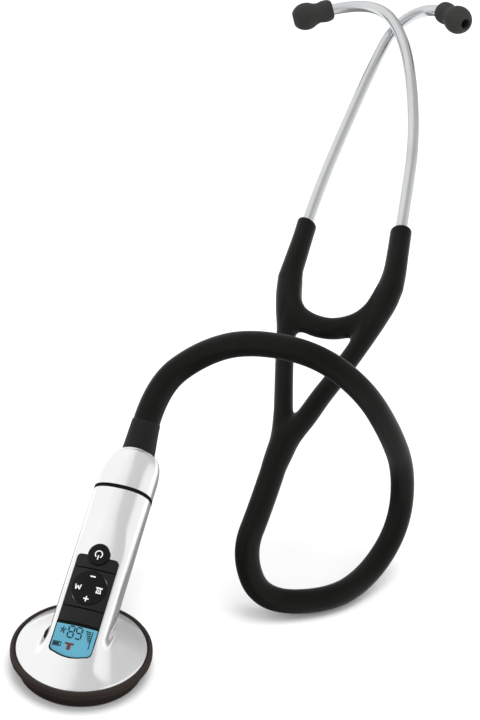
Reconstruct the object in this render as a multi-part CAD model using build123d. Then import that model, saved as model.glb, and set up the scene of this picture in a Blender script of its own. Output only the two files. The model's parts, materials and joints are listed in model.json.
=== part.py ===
"""Electronic stethoscope standing on its round chestpiece.

Millimetres, +Z up. The origin is the centre of the diaphragm's contact face, on the surface that the
chestpiece stands on. The handle leaves the head along +Y and rises; +X is to its right.
The handle's own pieces are drawn level, with x across, y along the handle and z out of its control panel,
and tilted() stands them up. The headset's pieces are drawn in the headset's own plane: u across,
v along it towards the ears, n out of it.
"""
from build123d import *
from math import cos, sin, radians, tan
import os

# ---- chestpiece head ----
HEAD_R = 28.5            # outside of the soft rim
DOME_R = 26.6            # edge of the silver dome
DIAPHRAGM_R = 25.4
FILM = 0.5               # diaphragm thickness
RING_TOP = 5.9           # underside of the rim
RIM_TOP = 9.0
DOME_TOP = 17.5
PLATE = 1.0              # backing plate thickness

# ---- handle ----
TILT = 32.9              # rise of the handle, degrees
AXIS_RISE = 18.7         # height of the handle's axis over the origin
HANDLE_A, HANDLE_B = 12.2, 10.5   # half width and half depth of its section
WALL = 1.3
NOSE = -19.0             # stations along the handle's axis
SEAM = 57.5
SEAL = 0.7
CAP_START = SEAM + 0.1 + SEAL
CAP_END = 77.1
PANEL_TOP = 7.9          # panel surface above the handle's axis
PANEL_FLOOR = 6.9
PANEL_HALF = 8.7
PANEL_END = 27.5
LCD_START, LCD_END = -15.4, -1.0
GROOVES = (5.4, 22.0)    # across the control panel
KEYPAD_AT, KEYPAD_R = 14.0, 7.1
BUTTON_AT, BUTTON_R = 28.2, 4.4
MOVING_GAP = 0.2

# ---- battery: size AA ----
CELL_R, CELL_L, CELL_NUB = 7.25, 48.5, 2.0
CELL_AT, CELL_DROP = 3.2, 1.7

# ---- tubing ----
TUBE_D = 10.0
ROUTE = [
    (0.8, 75.2, 69.8), (2, 86, 83), (18, 93, 98), (38, 90, 110), (67, 87, 112), (88, 91, 97), (100, 102, 72),
    (107, 113, 47), (109, 106, 23), (101, 88, 7), (88, 67, 5), (61, 53, 8), (51, 54, 30), (56, 60, 52),
    (58, 70, 66),
]
RELIEF_BASE_R, RELIEF_MID_R, RELIEF_TIP_R = 7.1, 6.6, 6.0

# ---- headset ----
HEADSET = Plane(origin=(60.6, 87.0, 81.7), x_dir=(0.984, -0.115, 0.135), z_dir=(-0.173, -0.454, 0.874))
EAR_TUBE_R, EAR_TUBE_BORE = 2.65, 1.9
SLEEVE_FIT = 0.05
STEM = [(-0.9, -13.5, -1.8, 5.6), (0, -3, 0, 5.9)]                 # u, v, n, radius
BRANCH = {
    "left": [(-6.6, 6.5, 0, 4.2), (-9.6, 18, 0, 4.15), (-14.7, 35, 0, 4.2), (-19.2, 52, 0, 4.9),
             (-22.4, 67.5, 0, 5.3)],
    "right": [(7.6, 5.5, 0, 4.2), (13, 20.5, 0, 4.15), (18.3, 37, 0, 4.2), (21.6, 53, 0, 4.9),
              (24.3, 68.5, 0, 5.3)],
}
U_BAR = [(-20, 57), (-14, 49.5), (-6, 45.3), (3, 43.8), (11, 46), (17.5, 50), (22, 57)]
U_BAR_R = 4.5
SLEEVE = {
    "left": [(-22.4, 67.5, 0, 5.3), (-22.3, 82.5, 0, 4.9), (-22.6, 99.8, 0, 4.6)],
    "right": [(24.3, 68.5, 0, 5.3), (23.1, 81.5, 0, 4.9), (20.5, 102.2, 0, 4.7)],
}
EAR_TUBE = {
    "left": [(-22.35, 86, 0), (-22.9, 115, 0), (-21.3, 160, -2.2), (-18.8, 200, -3.2),
             (-15, 226.5, -3.2), (-0.6, 239.5, -3.8), (10.5, 231.5, -0.7)],
    "right": [(22.5, 86.1, 0), (18.9, 115, 0), (15, 148, 2.2), (5.5, 183, 3.2), (-6, 212, 3.2),
              (-20.5, 230.5, 3.2), (-38.5, 231.9, 3.2), (-51, 225.3, 3.2)],
}
KNUCKLE_GAP = 0.3
TIP_LENGTH = 20.3
TIP_INSERT = 7.0         # how far an ear tube reaches into its eartip
SPRING_T, SPRING_W = 0.8, 5.0

os.makedirs("parts", exist_ok=True)


def save(name, shape):
    """Write one node."""
    export_step(shape, f"parts/{name}.step")


# ---------------------------------------------------------------- helpers
def ring(outer, inner, z0, z1):
    """A flat ring about Z; inner 0 gives a disc."""
    body = Pos(0, 0, z0) * Cylinder(outer, z1 - z0, align=(Align.CENTER, Align.CENTER, Align.MIN))
    if inner:
        body -= Pos(0, 0, z0) * Cylinder(inner, z1 - z0, align=(Align.CENTER, Align.CENTER, Align.MIN))
    return body


def turned(points):
    """Solid of revolution about Z from an outline of (radius, z)."""
    return revolve(Plane.XZ * make_face(Polyline(*points, close=True)), Axis.Z)


def tilted(shape):
    """Stand a level handle piece up at the handle's tilt."""
    return Pos(0, 0, AXIS_RISE) * Rot(TILT, 0, 0) * shape


def along(y0, y1, section):
    """Extrude a section along the handle, in the level frame."""
    return extrude(Plane(origin=(0, y0, 0), x_dir=(-1, 0, 0), z_dir=(0, 1, 0)) * section, amount=y1 - y0)


def slab(x_half, y0, y1, z0, z1):
    """A box across the handle, in the level frame."""
    return Pos(0, (y0 + y1) / 2, (z0 + z1) / 2) * Box(2 * x_half, y1 - y0, z1 - z0)


def post(r, y, z0, z1, x=0):
    """A round post standing out of the handle, in the level frame."""
    return Pos(x, y, z0) * Cylinder(r, z1 - z0, align=(Align.CENTER, Align.CENTER, Align.MIN))


def spot(u, v, n=0):
    """A point of the headset's plane, in the part's frame."""
    return HEADSET.from_local_coords(Vector(u, v, n))


def ball(p, r):
    return Pos(p.X, p.Y, p.Z) * Sphere(r)


def frustum(p, q, rp, rq):
    """A straight limb from p to q that tapers from radius rp to rq."""
    way = q - p
    base = Plane(origin=p, z_dir=way)
    if abs(rp - rq) < 1e-6:
        return base * Cylinder(rp, way.length, align=(Align.CENTER, Align.CENTER, Align.MIN))
    return base * Cone(rp, rq, way.length, align=(Align.CENTER, Align.CENTER, Align.MIN))


def limb(stations):
    """Tapered limbs with a ball at each inner bend; stations are (point, radius)."""
    body = None
    for (p, rp), (q, rq) in zip(stations, stations[1:]):
        piece = frustum(p, q, rp, rq)
        body = piece if body is None else body + piece
    for p, r in stations[1:-1]:
        body += ball(p, r)
    return body


def headset_stations(rows):
    return [(spot(u, v, n), r) for u, v, n, r in rows]


def corner_radii(points):
    """Each corner's arc: 0.45 of its shorter run over the tangent of half its turn."""
    radii = []
    for a, b, c in zip(points, points[1:], points[2:]):
        turn = (b - a).get_angle(c - b)
        radii.append(0.45 * min((b - a).length, (c - b).length) / tan(radians(turn / 2)))
    return radii


def bent_tube(points, outer, inner=0):
    """A round tube along straight runs joined by tangent arcs."""
    path = FilletPolyline(*points, radius=corner_radii(points))
    start = Plane(origin=points[0], z_dir=points[1] - points[0])
    section = Circle(outer) - Circle(inner) if inner else Circle(outer)
    return sweep(start * section, path=path), path


# ---------------------------------------------------------------- head
def head_rim():
    lip = 0.6
    return turned([(24.0, RING_TOP), (HEAD_R - lip, RING_TOP), (HEAD_R, RING_TOP + lip),
                   (HEAD_R, RIM_TOP - lip), (HEAD_R - lip, RIM_TOP), (DOME_R, RIM_TOP),
                   (DOME_R, RING_TOP + PLATE), (24.0, RING_TOP + PLATE)])


SCREW_R, SCREW_RING = 1.0, 19.0
SCREW_SPOTS = [Rot(0, 0, a) * Pos(SCREW_RING, 0, 0) for a in (90, 210, 330)]


def base_screws():
    screw = Pos(0, 0, RING_TOP - 0.9) * Cylinder(1.8, 0.9, align=(Align.CENTER, Align.CENTER, Align.MIN))
    screw += Pos(0, 0, RING_TOP) * Cylinder(SCREW_R, 4, align=(Align.CENTER, Align.CENTER, Align.MIN))
    return Compound([(at * screw) for at in SCREW_SPOTS])


def backing_plate():
    plate = ring(24.0, 0, RING_TOP, RING_TOP + PLATE)
    for at in SCREW_SPOTS:
        plate -= at * ring(SCREW_R, 0, RING_TOP, RING_TOP + PLATE)
    return plate


def sensor_mount():
    mount = ring(21.8, 14.0, FILM + 1.7, RING_TOP)
    for at in SCREW_SPOTS:
        mount -= at * ring(2.0, 0, RING_TOP - 1.0, RING_TOP)
    return mount


# ---------------------------------------------------------------- housing
def barrel():
    """The handle's full oval section, level."""
    return along(NOSE, SEAM, Ellipse(HANDLE_A, HANDLE_B))


def handle_solid():
    """The handle's outside, level, with the flat that carries the control panel."""
    body = barrel()
    flat = PANEL_TOP + 0.3
    ramp = Polyline((NOSE - 1, flat), (31, flat), (47, HANDLE_B + 0.01), (47, 20), (NOSE - 1, 20), close=True)
    cutter = extrude(Plane(origin=(-15, 0, 0), x_dir=(0, 1, 0), z_dir=(1, 0, 0)) * make_face(ramp), amount=30)
    return body - cutter


def dome_solid():
    edge, top = DOME_R - 0.1, DOME_TOP
    mid_r = edge * 0.52
    rise = top - RIM_TOP
    mid_z = RIM_TOP + rise * 0.76
    arc = ThreePointArc((edge, RIM_TOP), (mid_r, mid_z), (0, top))
    foot = Polyline((0, top), (0, RING_TOP + PLATE), (edge, RING_TOP + PLATE), (edge, RIM_TOP))
    return revolve(Plane.XZ * make_face(arc + foot), Axis.Z)


def housing():
    nose_mound = turned([(0, RING_TOP + PLATE), (24.5, RING_TOP + PLATE), (24.0, 10.6), (16.6, 18.2),
                         (14.5, 22), (0, 30)])
    behind = Pos(0, 60 - 4, 40) * Box(60, 120, 2 * (40 - RING_TOP - PLATE))
    body = dome_solid() + (tilted(handle_solid()) & (nose_mound + behind))
    # head cavity with the bosses that the base screws bite into
    cavity = turned([(0, 6), (23.2, 6), (23.2, 8.4), (12, 12.2), (0, 12.2)])
    for at in SCREW_SPOTS:
        cavity -= at * ring(2.4, 0, RING_TOP + PLATE, 11.5)
    body -= cavity
    for at in SCREW_SPOTS:
        body -= at * ring(SCREW_R, 0, RING_TOP + PLATE, RING_TOP + 4)
    # battery compartment, open at the seam
    inner = along(0.6, SEAM, Ellipse(HANDLE_A - WALL, HANDLE_B - WALL))
    inner -= slab(15, 0, 46, PANEL_FLOOR - 1.0, 20)
    # wire duct from the head to the battery compartment
    duct = along(-7, 1.5, Pos(0, -4.5) * Circle(2.2))
    # panel pocket, the display's well and the button's well
    pocket = slab(PANEL_HALF + 0.1, LCD_START - 0.1, PANEL_END, PANEL_FLOOR, 20)
    pocket += post(BUTTON_R + MOVING_GAP, BUTTON_AT, PANEL_FLOOR, 20)
    well = slab(7.4, LCD_START + 1.2, LCD_END - 0.8, 4.6, 8)
    for hole in (inner, duct, pocket, well):
        body -= tilted(hole)
    return body


# ---------------------------------------------------------------- handle pieces (level frame)
def display_window():
    return slab(PANEL_HALF, LCD_START, LCD_END, PANEL_FLOOR, PANEL_TOP) & barrel()


def lcd_module():
    return slab(7.3, LCD_START + 1.3, LCD_END - 0.9, 4.6, PANEL_FLOOR)


def control_panel():
    plate = slab(PANEL_HALF, LCD_END + 0.1, PANEL_END - 0.1, PANEL_FLOOR, PANEL_TOP) & barrel()
    plate -= post(KEYPAD_R + MOVING_GAP, KEYPAD_AT, PANEL_FLOOR, 20)
    plate -= post(BUTTON_R + MOVING_GAP, BUTTON_AT, PANEL_FLOOR, 20)
    for y in GROOVES:
        plate -= slab(PANEL_HALF + 1, y - 0.25, y + 0.25, PANEL_TOP - 0.4, 20)
    return plate


def keypad():
    """Round four-way rocker, dished so that a thumb finds its edge."""
    disc = post(KEYPAD_R, KEYPAD_AT, PANEL_FLOOR + 0.5, PANEL_TOP + 0.35)
    dish = Pos(0, KEYPAD_AT, PANEL_TOP + 0.1 + 60) * Sphere(60)
    return disc - dish


def power_button():
    button = post(BUTTON_R, BUTTON_AT, PANEL_FLOOR + 0.6, PANEL_TOP + 0.9)
    return chamfer(button.faces().sort_by(Axis.Z)[-1].edges(), 0.3)


def battery():
    cell = along(CELL_AT, CELL_AT + CELL_L, Pos(0, -CELL_DROP) * Circle(CELL_R))
    return cell + along(CELL_AT + CELL_L, CELL_AT + CELL_L + CELL_NUB, Pos(0, -CELL_DROP) * Circle(2.75))


def battery_spring():
    wire, turns = 0.25, 3
    height = CELL_AT - 0.6 - 2 * wire
    coil = Helix(pitch=height / turns, height=height, radius=3.5)
    start = Plane(origin=coil @ 0, z_dir=coil % 0)
    spring = sweep(start * Circle(wire), path=coil)
    return Pos(0, 0.6 + wire, -CELL_DROP) * Rot(-90, 0, 0) * spring


def end_cap():
    sections = [(CAP_START, 12.2, 10.5), (64.5, 12.2, 10.5), (69.0, 11.9, 10.3), (72.5, 11.1, 9.8),
                (75.2, 9.7, 8.9), (CAP_END, 7.5, 7.4)]
    faces = [Plane(origin=(0, y, 0), x_dir=(-1, 0, 0), z_dir=(0, 1, 0)) * Ellipse(a, b) for y, a, b in sections]
    cap = loft(faces)
    spigot = Ellipse(HANDLE_A - WALL - 0.3, HANDLE_B - WALL - 0.3)
    cap += along(CAP_START - 3.6, CAP_START + 1, spigot)
    cap -= along(CAP_START - 4, 68, Ellipse(9.4, 7.7))
    return cap - along(67, CAP_END + 1, Circle(5.0))


def seam_seal():
    rim = Ellipse(HANDLE_A + 0.1, HANDLE_B + 0.1) - Ellipse(HANDLE_A - WALL - 0.3, HANDLE_B - WALL - 0.3)
    return along(CAP_START - SEAL, CAP_START, rim)


def speaker_carrier():
    return along(60.0, 61.4, Ellipse(9.4, 7.7))


def battery_contact():
    tip = CELL_AT + CELL_L + CELL_NUB + 0.4
    plate = along(tip, tip + 0.5, Pos(0, -CELL_DROP) * Circle(4.0))
    return plate + along(tip + 0.5, 60.0, Pos(0, -CELL_DROP) * Circle(1.4))


def speaker():
    return along(61.4, 66.5, Circle(7.4)) + along(66.5, 68.5, Circle(3.4))


def strain_relief():
    """Tapered sleeve that turns from the handle's direction into the tube's."""
    out = Vector(0, cos(radians(TILT)), sin(radians(TILT)))
    base = Vector(0, 0, AXIS_RISE) + out * CAP_END
    tip = Vector(*ROUTE[0])
    exit_way = (Vector(*ROUTE[1]) - tip).normalized()
    mid = (base + tip) * 0.5 + (out - exit_way) * 1.2
    faces = []
    for origin, way, r in ((base, out, RELIEF_BASE_R), (mid, (tip - base).normalized(), RELIEF_MID_R),
                           (tip, exit_way, RELIEF_TIP_R)):
        across = Vector(1, 0, 0) - way * way.X
        faces.append(Plane(origin=origin, x_dir=across, z_dir=way) * Circle(r))
    return loft(faces) + tilted(along(70.0, CAP_END, Circle(5.0)))


# ---------------------------------------------------------------- headset pieces
def spring_strip():
    """The steel strip, as short plates along the U."""
    points = [Vector(u, v) for u, v in U_BAR]
    strip = None
    for a, b in zip(points, points[1:]):
        way = b - a
        middle = (a + b) * 0.5
        plate = Pos(middle.X, middle.Y) * Rot(0, 0, way.get_angle(Vector(1, 0)) * (1 if way.Y > 0 else -1)) \
            * Box(way.length + 0.2, SPRING_T, SPRING_W)
        strip = plate if strip is None else strip + plate
    return HEADSET * strip


def yoke():
    end = Vector(*ROUTE[-1])
    stem = [(end, 5.05)] + headset_stations(STEM)
    body = limb(stem)
    joint = stem[-1]
    body += ball(*joint)
    for rows in BRANCH.values():
        stations = [joint] + headset_stations(rows)
        body += limb(stations)
        body += ball(*stations[-1])
    body += limb([(spot(u, v), U_BAR_R) for u, v in U_BAR])
    return body - spring_strip()


def sleeve(side):
    rows = SLEEVE[side]
    body = limb(headset_stations(rows))
    knuckle, r = headset_stations(rows)[0]
    body -= ball(knuckle, r + KNUCKLE_GAP)
    low, top = spot(*EAR_TUBE[side][0]), spot(*EAR_TUBE[side][1])
    way = (top - low).normalized()
    bore = Plane(origin=low - way * 0.3, z_dir=way) * Cylinder(
        EAR_TUBE_R + SLEEVE_FIT, 30, align=(Align.CENTER, Align.CENTER, Align.MIN))
    return body - bore


def ear_tube(side):
    return bent_tube([spot(*p) for p in EAR_TUBE[side]], EAR_TUBE_R, EAR_TUBE_BORE)


def tip_plane(side):
    """Frame at an ear tube's end, with z pointing out of the tube."""
    before, end = [spot(*p) for p in EAR_TUBE[side][-2:]]
    return Plane(origin=end, z_dir=end - before)


def tip_adapter(side):
    """Snap nipple pressed into the ear tube's end."""
    nipple = turned([(1.2, -3), (EAR_TUBE_BORE, -3), (EAR_TUBE_BORE, 0), (2.6, 0), (2.6, 0.8), (2.0, 1.2),
                     (2.0, 2.2), (2.5, 2.6), (2.0, 3.4), (1.2, 3.4)])
    return tip_plane(side) * nipple


def eartip(side):
    """Soft snowman-shaped tip with its bore; its back end sits TIP_INSERT behind the tube's end."""
    ball_r, ball_at = 6.6, 13.8
    front = TIP_LENGTH
    bore, sound = EAR_TUBE_R + SLEEVE_FIT, 1.7
    outside = Spline((bore, 0), (4.6, 0.35), (5.45, 2.6), (5.2, 6.0), (4.8, 7.9), (5.5, 10.0),
                     (ball_r, ball_at), (5.2, 17.9), (3.1, front - 0.3), (sound, front))
    inside = Polyline((sound, front), (sound, TIP_INSERT + 3.6), (bore, TIP_INSERT + 3.6), (bore, 0))
    tip = revolve(Plane.XZ * make_face(outside + inside), Axis.Z)
    return tip_plane(side) * (Pos(0, 0, -TIP_INSERT) * tip)


# ---------------------------------------------------------------- build
def build():
    save("diaphragm", ring(DIAPHRAGM_R - 0.1, 0, 0, FILM))
    save("diaphragm_ring", ring(DIAPHRAGM_R, 21.8, FILM, RING_TOP))
    save("sensor_foam", ring(20.0, 0, FILM, FILM + 1.7))
    save("acoustic_sensor", ring(14.0, 0, FILM + 1.7, FILM + 3.0))
    save("sensor_mount", sensor_mount())
    save("backing_plate", backing_plate())
    save("base_screws", base_screws())
    save("head_rim", head_rim())
    save("housing", housing())
    save("main_circuit_board", ring(16.0, 0, RING_TOP + PLATE + 1.2, RING_TOP + PLATE + 2.4))
    save("signal_processor", Pos(0, -5, RING_TOP + PLATE + 2.4 + 0.5) * Box(8, 8, 1.0))

    save("display_window", tilted(display_window()))
    save("lcd_module", tilted(lcd_module()))
    save("control_panel", tilted(control_panel()))
    save("keypad_pivot", tilted(post(1.2, KEYPAD_AT, PANEL_FLOOR, PANEL_FLOOR + 0.35)))
    save("keypad_boot", tilted(post(2.1, KEYPAD_AT, PANEL_FLOOR + 0.1, PANEL_FLOOR + 0.3)
                               - post(1.4, KEYPAD_AT, PANEL_FLOOR, PANEL_FLOOR + 1)))
    save("keypad", tilted(keypad()))
    save("power_button", tilted(power_button()))
    save("battery", tilted(battery()))
    save("battery_spring", tilted(battery_spring()))

    save("end_cap", tilted(end_cap()))
    save("seam_seal", tilted(seam_seal()))
    save("battery_contact", tilted(battery_contact()))
    save("speaker_carrier", tilted(speaker_carrier()))
    save("speaker", tilted(speaker()))

    route = [Vector(*p) for p in ROUTE]
    tube, path = bent_tube(route, TUBE_D / 2)
    print("tube radii", [round(r, 1) for r in corner_radii(route)])
    print("tube length", round(path.length, 1), "volume", round(tube.volume),
          "section times length", round(Circle(TUBE_D / 2).area * path.length))
    save("main_tube", tube)
    save("strain_relief", strain_relief())

    save("yoke_tubing", yoke())
    save("yoke_leaf_spring", spring_strip())
    for side in ("left", "right"):
        save(f"{side}_sleeve", sleeve(side))
        metal, line = ear_tube(side)
        print(side, "ear tube length", round(line.length, 1))
        save(f"{side}_ear_tube", metal)
        save(f"{side}_tip_adapter", tip_adapter(side))
        save(f"{side}_eartip", eartip(side))


build()
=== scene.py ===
"""Looks of the electronic stethoscope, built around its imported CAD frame.

Shapes are drawn in millimetres in three frames, and written out in metres in the row's frame:
the row's own frame; the handle's level frame (x across, y along the handle, z out of its panel);
and the headset's frame (u across, v along it towards the ears, n out of its plane).
"""
import json
from math import cos, sin, radians, pi

import bmesh
import bpy
import numpy as np
from mathutils import Matrix, Vector


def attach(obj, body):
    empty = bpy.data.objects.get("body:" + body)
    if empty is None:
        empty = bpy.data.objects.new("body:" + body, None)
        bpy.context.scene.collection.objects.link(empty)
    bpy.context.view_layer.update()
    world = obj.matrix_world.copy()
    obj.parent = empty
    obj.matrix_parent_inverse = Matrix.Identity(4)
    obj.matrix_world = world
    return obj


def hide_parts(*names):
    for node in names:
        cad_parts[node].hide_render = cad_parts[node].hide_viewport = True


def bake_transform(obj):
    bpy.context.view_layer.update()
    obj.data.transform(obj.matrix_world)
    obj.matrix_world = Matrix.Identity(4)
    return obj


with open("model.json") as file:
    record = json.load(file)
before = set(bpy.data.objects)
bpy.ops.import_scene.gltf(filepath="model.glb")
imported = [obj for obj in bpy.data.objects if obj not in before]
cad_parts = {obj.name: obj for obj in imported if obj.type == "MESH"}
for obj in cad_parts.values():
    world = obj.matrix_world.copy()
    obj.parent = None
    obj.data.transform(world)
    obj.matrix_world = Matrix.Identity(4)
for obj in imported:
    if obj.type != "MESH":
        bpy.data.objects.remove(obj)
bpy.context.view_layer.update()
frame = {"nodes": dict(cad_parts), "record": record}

MM = 0.001

# ---- frames ----
TILT = radians(32.9)                  # rise of the handle
AXIS_RISE = 18.7                      # its axis over the origin
LEVEL = Matrix.Translation((0, 0, AXIS_RISE)) @ Matrix.Rotation(TILT, 4, "X")
HEADSET_ORIGIN = Vector((60.6, 87.0, 81.7))
HEADSET_OUT = Vector((-0.173, -0.454, 0.874)).normalized()
HEADSET_ACROSS = Vector((0.984, -0.115, 0.135))
HEADSET_ACROSS = (HEADSET_ACROSS - HEADSET_OUT * HEADSET_ACROSS.dot(HEADSET_OUT)).normalized()
HEADSET_UP = HEADSET_OUT.cross(HEADSET_ACROSS)
HEADSET = Matrix.Translation(HEADSET_ORIGIN) @ Matrix(
    (HEADSET_ACROSS, HEADSET_UP, HEADSET_OUT)).transposed().to_4x4()
ROW = Matrix.Identity(4)

# ---- tubing ----
TUBE_R = 5.0
ROUTE = [
    (0.8, 75.2, 69.8), (2, 86, 83), (18, 93, 98), (38, 90, 110), (67, 87, 112), (88, 91, 97),
    (100, 102, 72), (107, 113, 47), (109, 106, 23), (101, 88, 7), (88, 67, 5), (61, 53, 8),
    (51, 54, 30), (56, 60, 52), (58, 70, 66),
]

# ---- handle and head ----
HANDLE_A, HANDLE_B, SQUARENESS = 12.2, 10.5, 2.35
WALL = 1.3
SEAM, CAP_START, CAP_END = 57.4, 58.3, 77.1
SEAL_REACH = 0.42                     # how far the seal's ring lies over both sides of its seam
NOSE_SHIFT = 0.8                      # how far the cap's nose stands to the right of the handle's middle
PANEL_HALF, PANEL_FLOOR, PANEL_TOP = 8.7, 6.9, 7.9
CROWN = 0.9                           # how much lower the panel lies at its long edges
FLAT_TOP = PANEL_TOP + 0.3
CLEAR = 12                            # well above the handle's surface
LCD_START, LCD_END, PANEL_END = -15.4, -1.0, 27.5
KEYPAD_AT, KEYPAD_R = 14.0, 7.1
BUTTON_AT, BUTTON_R = 28.2, 4.4
GROOVES = (5.4, 22.0)
KEY_GAP = 0.14                        # between a key and the edge of its well
PANEL_GAP = 0.12                      # between the panel or the window and the edge of its recess
DOME_R, DOME_TOP, DOME_FOOT = 26.6, 17.5, 6.9
DOME_SPHERE = 45.9

# ---- headset ----
# lines of (u, v, n, radius); the two branches run together over the stem and thicken each other there
STEM = [(-1.0, -14.5, -2.5, 4.9)]
BRANCH = {
    "left": [(-2.5, -8, -1, 4.5), (-4.3, -0.5, 0, 4.1), (-6.6, 7.5, 0, 3.95), (-10.9, 23, 0, 3.9),
             (-15, 39, 0, 4.0), (-17.9, 50, 0, 4.5), (-20.4, 59, 0, 4.8), (-21.9, 67.5, 0, 5.0)],
    "right": [(2.4, -8, -1, 4.6), (6.1, -0.5, 0, 4.35), (9.3, 9.5, 0, 4.25), (12.9, 19.5, 0, 4.2),
              (16.5, 30.5, 0, 4.2), (19.8, 41.5, 0, 4.3), (22.1, 51, 0, 4.6), (23.9, 60, 0, 5.0),
              (24.6, 68.5, 0, 5.1)],
}
U_BAR = [(-17.2, 57.5, 0, 3.0), (-13.2, 50, 0, 4.2), (-6, 45.3, 0, 4.65), (3, 43.8, 0, 4.65),
         (11, 46, 0, 4.65), (16.8, 51, 0, 4.2), (20, 58, 0, 3.0)]
SLEEVE = {
    "left": [(-21.9, 67.5, 0, 5.0), (-22.0, 79, 0, 4.75), (-22.2, 90, 0, 4.5), (-22.5, 98.9, 0, 4.5)],
    "right": [(24.6, 68.5, 0, 5.1), (23.9, 77, 0, 4.95), (22.5, 88, 0, 4.75), (20.9, 99.8, 0, 4.7)],
}
END_TURN = {"left": -12, "right": 4}  # turn of each sleeve's end face in the headset's plane
EAR_TUBE = {
    "left": [(-22.35, 86, 0), (-22.9, 115, 0), (-21.3, 160, -2.2), (-18.8, 200, -3.2),
             (-15, 226.5, -3.2), (0.0, 240.8, -3.8), (11.2, 232.0, -0.7)],
    "right": [(22.5, 86.1, 0), (18.9, 115, 0), (15, 148, 2.2), (5.5, 183, 3.2), (-6, 212, 3.2),
              (-20.5, 230.5, 3.2), (-39.0, 231.3, 3.2), (-52.2, 225.0, 3.2)],
}
EAR_TUBE_R, EAR_TUBE_BORE = 2.65, 1.9
TUBE_FIT = 0.05                       # between an ear tube and the rubber round it
TIP_INSERT = 7.0
SPLIT_AT = 62.0                       # where the yoke's mesh ends and an arm's begins
SIDES = ("left", "right")

TOP_RINGS = (0.85, 0.7, 0.55, 0.4, 0.25, 0.1)   # shares of a flat top's reach at which it is cut into rings


# ---------------------------------------------------------------- camera, floor and light
def make_camera():
    data = bpy.data.cameras.new("camera")
    data.sensor_width, data.lens = 36, 85
    data.clip_start, data.clip_end = 0.05, 20
    camera = bpy.data.objects.new("camera", data)
    bpy.context.scene.collection.objects.link(camera)
    camera.matrix_world = (
        Matrix.Translation(Vector((163.2, -500.7, 458.1)) * MM) @ Matrix.Rotation(radians(12.2), 4, "Z")
        @ Matrix.Rotation(radians(90 - 30.64), 4, "X") @ Matrix.Rotation(radians(4.70), 4, "Z"))
    bpy.context.scene.camera = camera


def make_tubing():
    """The main tube, a free cord on one smooth line. It is a little fuller where it leaves the handle."""
    data = bpy.data.curves.new("tubing_line", "CURVE")
    data.dimensions = "3D"
    spline = data.splines.new("NURBS")
    spline.points.add(len(ROUTE) - 1)
    for i, (point, place) in enumerate(zip(spline.points, ROUTE)):
        point.co = (*(Vector(place) * MM), 1)
        point.radius = 1.03 + 0.12 * max(0, 1 - i / 4)
    spline.order_u = 3
    spline.use_endpoint_u = True
    spline.resolution_u = 24
    data.bevel_depth = TUBE_R * MM
    data.bevel_resolution = 10
    data.use_fill_caps = True
    tube = bpy.data.objects.new("tubing_line", data)
    bpy.context.scene.collection.objects.link(tube)
    tube.data.materials.append(FINISH["tube_black"])
    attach(tube, "tubing")
    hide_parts("main_tube")
    tube.visible_glossy = False           # the silver shows the studio's panels only


def set_levels(ramp, levels):
    """Grey levels of (position, level) along a colour ramp."""
    while len(ramp.elements) < len(levels):
        ramp.elements.new(0.5)
    for element, (at, level) in zip(ramp.elements, levels):
        element.position = at
        element.color = (level, level, level, 1)


def make_floor():
    size = 4.0
    mesh = bpy.data.meshes.new("floor")
    corners = [(-size, -size, 0), (size, -size, 0), (size, size, 0), (-size, size, 0)]
    mesh.from_pydata(corners, [], [(0, 1, 2, 3)])
    floor = bpy.data.objects.new("floor", mesh)
    bpy.context.scene.collection.objects.link(floor)
    material = bpy.data.materials.new("floor_paper")
    material.use_nodes = True
    nodes, links = material.node_tree.nodes, material.node_tree.links
    shader = nodes["Principled BSDF"]
    shader.inputs["Base Color"].default_value = (0.93, 0.93, 0.93, 1)
    shader.inputs["Roughness"].default_value = 0.9
    shader.inputs["Specular IOR Level"].default_value = 0.0
    # reflections see a dark strip of floor under the object, which draws a thin line along its silver edges
    dim, place = nodes.new("ShaderNodeBsdfDiffuse"), nodes.new("ShaderNodeTexCoord")
    split, reach = nodes.new("ShaderNodeSeparateXYZ"), nodes.new("ShaderNodeMapRange")
    shade = nodes.new("ShaderNodeValToRGB")
    reach.inputs["From Min"].default_value, reach.inputs["From Max"].default_value = -0.1, 0.1
    strip = [(0.08, 0.9), (0.14, 0.2), (0.82, 0.24), (0.94, 0.9)]
    set_levels(shade.color_ramp, strip)
    links.new(place.outputs["Object"], split.inputs[0])
    links.new(split.outputs["X"], reach.inputs["Value"])
    links.new(reach.outputs["Result"], shade.inputs["Fac"])
    links.new(shade.outputs["Color"], dim.inputs["Color"])
    mix, path = nodes.new("ShaderNodeMixShader"), nodes.new("ShaderNodeLightPath")
    links.new(path.outputs["Is Glossy Ray"], mix.inputs["Fac"])
    links.new(shader.outputs[0], mix.inputs[1])
    links.new(dim.outputs[0], mix.inputs[2])
    links.new(mix.outputs[0], nodes["Material Output"].inputs["Surface"])
    mesh.materials.append(material)


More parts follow.
